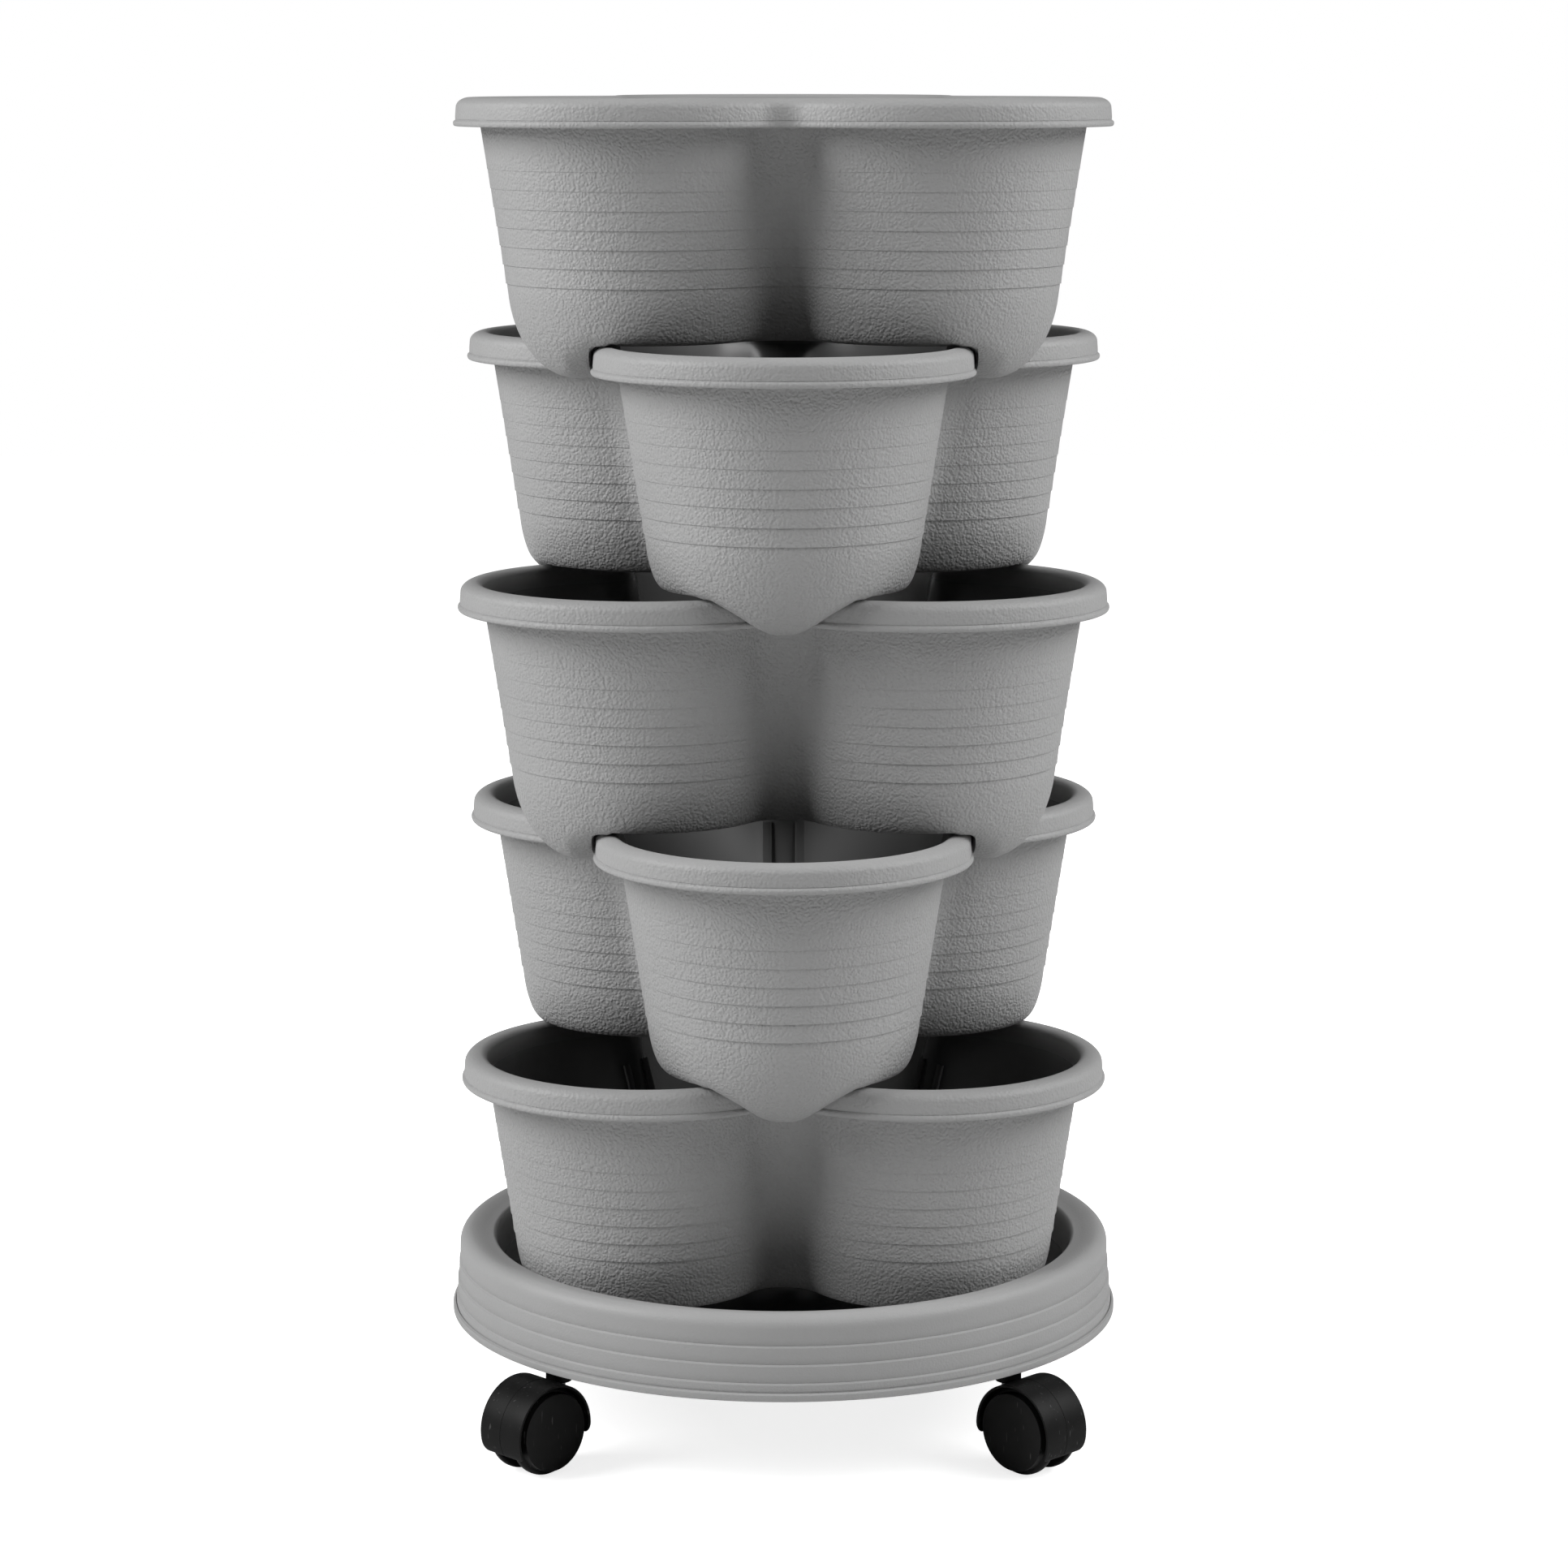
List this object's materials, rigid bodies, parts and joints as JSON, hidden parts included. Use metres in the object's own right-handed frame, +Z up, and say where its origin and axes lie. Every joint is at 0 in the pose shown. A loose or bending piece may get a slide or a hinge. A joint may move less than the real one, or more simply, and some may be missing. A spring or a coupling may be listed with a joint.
{
  "type": "vertical planter tower",
  "caption": "Rolling tower of stacked three-lobed plant pots, each turned half a lobe from the next, on a round saucer with twin-wheel casters.",
  "frame": {"origin": "on the floor under the tower's axis, at the bottom centre of the bounding box", "axes": "+Z up the tower, front towards -Y, +X to the right seen from the front"},
  "size_m": [0.3884, 0.3934, 0.7621],
  "materials": {
    "pot_plastic": "grey polypropylene with a fine leather grain outside",
    "saucer_plastic": "grey polypropylene with a fine matte texture",
    "grid_plastic": "dark polypropylene",
    "caster_plastic": "black nylon, fine spark texture",
    "wheel_plastic": "black nylon wheel",
    "steel": "zinc plated steel"
  },
  "bodies": {
    "saucer": {"saucer": "saucer_plastic", "front_left_socket": "grid_plastic", "front_left_stem": "steel", "front_right_socket": "grid_plastic", "front_right_stem": "steel", "rear_left_socket": "grid_plastic", "rear_left_stem": "steel", "rear_right_socket": "grid_plastic", "rear_right_stem": "steel"},
    "bottom_pot": {"bottom_pot": "pot_plastic", "bottom_flow_grid": "grid_plastic"},
    "lower_pot": {"lower_pot": "pot_plastic", "lower_flow_grid": "grid_plastic"},
    "middle_pot": {"middle_pot": "pot_plastic", "middle_flow_grid": "grid_plastic"},
    "upper_pot": {"upper_pot": "pot_plastic", "upper_flow_grid": "grid_plastic"},
    "top_pot": {"top_pot": "pot_plastic", "top_flow_grid": "grid_plastic"},
    "front_left_caster": {"front_left_hood": "caster_plastic", "front_left_axle": "steel"},
    "front_left_left_wheel": {"front_left_left_wheel": "wheel_plastic"},
    "front_left_right_wheel": {"front_left_right_wheel": "wheel_plastic"},
    "front_right_caster": {"front_right_hood": "caster_plastic", "front_right_axle": "steel"},
    "front_right_left_wheel": {"front_right_left_wheel": "wheel_plastic"},
    "front_right_right_wheel": {"front_right_right_wheel": "wheel_plastic"},
    "rear_left_caster": {"rear_left_hood": "caster_plastic", "rear_left_axle": "steel"},
    "rear_left_left_wheel": {"rear_left_left_wheel": "wheel_plastic"},
    "rear_left_right_wheel": {"rear_left_right_wheel": "wheel_plastic"},
    "rear_right_caster": {"rear_right_hood": "caster_plastic", "rear_right_axle": "steel"},
    "rear_right_left_wheel": {"rear_right_left_wheel": "wheel_plastic"},
    "rear_right_right_wheel": {"rear_right_right_wheel": "wheel_plastic"}
  },
  "joints": [
    {"name": "bottom_pot_lift", "type": "slide", "parent": "saucer", "child": "bottom_pot", "axis": [0, 0, 1], "range_m": [0, 0.05]},
    {"name": "lower_pot_lift", "type": "slide", "parent": "bottom_pot", "child": "lower_pot", "axis": [0, 0, 1], "range_m": [0, 0.05]},
    {"name": "middle_pot_lift", "type": "slide", "parent": "lower_pot", "child": "middle_pot", "axis": [0, 0, 1], "range_m": [0, 0.05]},
    {"name": "upper_pot_lift", "type": "slide", "parent": "middle_pot", "child": "upper_pot", "axis": [0, 0, 1], "range_m": [0, 0.05]},
    {"name": "top_pot_lift", "type": "slide", "parent": "upper_pot", "child": "top_pot", "axis": [0, 0, 1], "range_m": [0, 0.05]},
    {"name": "front_left_swivel", "type": "hinge", "parent": "saucer", "child": "front_left_caster", "pos_m": [-0.12636, -0.12636, 0.05], "axis": [0, 0, 1], "continuous": true},
    {"name": "front_left_left_wheel_roll", "type": "hinge", "parent": "front_left_caster", "child": "front_left_left_wheel", "pos_m": [-0.13838, -0.13838, 0.025], "axis": [0.7071, -0.7071, 0], "continuous": true},
    {"name": "front_left_right_wheel_roll", "type": "hinge", "parent": "front_left_caster", "child": "front_left_right_wheel", "pos_m": [-0.13838, -0.13838, 0.025], "axis": [0.7071, -0.7071, 0], "continuous": true},
    {"name": "front_right_swivel", "type": "hinge", "parent": "saucer", "child": "front_right_caster", "pos_m": [0.12636, -0.12636, 0.05], "axis": [0, 0, 1], "continuous": true},
    {"name": "front_right_left_wheel_roll", "type": "hinge", "parent": "front_right_caster", "child": "front_right_left_wheel", "pos_m": [0.13838, -0.13838, 0.025], "axis": [0.7071, 0.7071, 0], "continuous": true},
    {"name": "front_right_right_wheel_roll", "type": "hinge", "parent": "front_right_caster", "child": "front_right_right_wheel", "pos_m": [0.13838, -0.13838, 0.025], "axis": [0.7071, 0.7071, 0], "continuous": true},
    {"name": "rear_left_swivel", "type": "hinge", "parent": "saucer", "child": "rear_left_caster", "pos_m": [-0.12636, 0.12636, 0.05], "axis": [0, 0, 1], "continuous": true},
    {"name": "rear_left_left_wheel_roll", "type": "hinge", "parent": "rear_left_caster", "child": "rear_left_left_wheel", "pos_m": [-0.13838, 0.13838, 0.025], "axis": [-0.7071, -0.7071, 0], "continuous": true},
    {"name": "rear_left_right_wheel_roll", "type": "hinge", "parent": "rear_left_caster", "child": "rear_left_right_wheel", "pos_m": [-0.13838, 0.13838, 0.025], "axis": [-0.7071, -0.7071, 0], "continuous": true},
    {"name": "rear_right_swivel", "type": "hinge", "parent": "saucer", "child": "rear_right_caster", "pos_m": [0.12636, 0.12636, 0.05], "axis": [0, 0, 1], "continuous": true},
    {"name": "rear_right_left_wheel_roll", "type": "hinge", "parent": "rear_right_caster", "child": "rear_right_left_wheel", "pos_m": [0.13838, 0.13838, 0.025], "axis": [-0.7071, 0.7071, 0], "continuous": true},
    {"name": "rear_right_right_wheel_roll", "type": "hinge", "parent": "rear_right_caster", "child": "rear_right_right_wheel", "pos_m": [0.13838, 0.13838, 0.025], "axis": [-0.7071, 0.7071, 0], "continuous": true}
  ]
}
